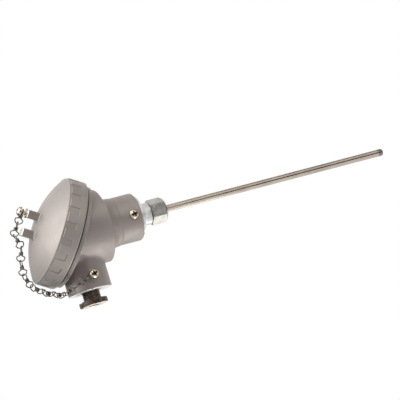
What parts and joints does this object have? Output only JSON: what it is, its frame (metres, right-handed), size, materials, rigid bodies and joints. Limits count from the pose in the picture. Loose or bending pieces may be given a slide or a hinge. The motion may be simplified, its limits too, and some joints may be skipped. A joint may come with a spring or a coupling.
{
  "type": "resistance thermometer probe with connection head",
  "caption": "Straight metal-sheathed temperature probe on a cast head with a slanted, domed screw lid, a retaining chain and a side cable entry.",
  "frame": {"origin": "on the sheath's axis, where the sheath leaves the lower face of the fitting nut", "axes": "+Z along the sheath towards the head, cable entry towards -X, the lid leans towards +X"},
  "size_m": [0.1074, 0.0914, 0.3372],
  "materials": {
    "head_paint": "satin silver-grey stove enamel on cast aluminium",
    "lid_paint": "satin silver-grey stove enamel on cast aluminium",
    "gasket_rubber": "matt black",
    "nickel_screw": "bright nickel plate, slightly warm",
    "chain_steel": "dull drawn steel wire",
    "zinc": "bright zinc plate",
    "fitting_steel": "turned stainless steel",
    "sheath_steel": "drawn stainless steel, slightly heat-tinted",
    "brass": "turned brass",
    "mineral": "packed mineral powder",
    "element": "fired ceramic",
    "lead_red": "woven red insulation",
    "lead_white": "woven white insulation",
    "ceramic": "glazed steatite",
    "gland_brass": "dark oxidised brass"
  },
  "bodies": {
    "root": {"head_body": "head_paint", "retaining_chain": "chain_steel", "chain_anchor_screw": "nickel_screw", "chain_anchor_washer": "zinc", "neck_set_screw": "nickel_screw", "neck_washer": "zinc", "fitting_body": "fitting_steel", "fitting_nut": "fitting_steel", "thrust_washer": "brass", "ferrule": "brass", "probe_sheath": "sheath_steel", "mineral_fill": "mineral", "rtd_element": "element", "transition_sleeve": "fitting_steel", "lead_wire_1": "lead_red", "lead_wire_2": "lead_red", "lead_wire_3": "lead_white", "terminal_block": "ceramic", "terminal_1": "brass", "terminal_2": "brass", "terminal_3": "brass", "terminal_screws": "zinc", "block_screws": "zinc", "earth_screw": "zinc", "gland_grommet": "gasket_rubber"},
    "gasket_ring": {"lid_gasket": "gasket_rubber"},
    "screw_lid": {"lid": "lid_paint", "lug_screw": "nickel_screw", "lug_washers": "zinc"},
    "gland_ring": {"gland_washer": "zinc"},
    "gland_screw": {"gland_nut": "gland_brass"}
  },
  "joints": [
    {"name": "lid_rise", "type": "slide", "parent": "root", "child": "gasket_ring", "axis": [0.515, 0, 0.8572], "range_m": [0, 0.008], "deforming": ["retaining_chain"]},
    {"name": "lid_turn", "type": "hinge", "parent": "gasket_ring", "child": "screw_lid", "pos_m": [-0.0018, 0, 0.0867], "axis": [0.515, 0, 0.8572], "range_deg": [0, 1440]},
    {"name": "gland_travel", "type": "slide", "parent": "root", "child": "gland_ring", "axis": [-1, 0, 0], "range_m": [0, 0.0093]},
    {"name": "gland_turn", "type": "hinge", "parent": "gland_ring", "child": "gland_screw", "pos_m": [-0.05, 0, 0.0831], "axis": [-1, 0, 0], "range_deg": [0, 2160]}
  ],
  "couplings": [
    {"joint": "lid_rise", "follows": "lid_turn", "m_per_rad": 0.00031831},
    {"joint": "gland_travel", "follows": "gland_turn", "m_per_rad": 0.00023873}
  ]
}
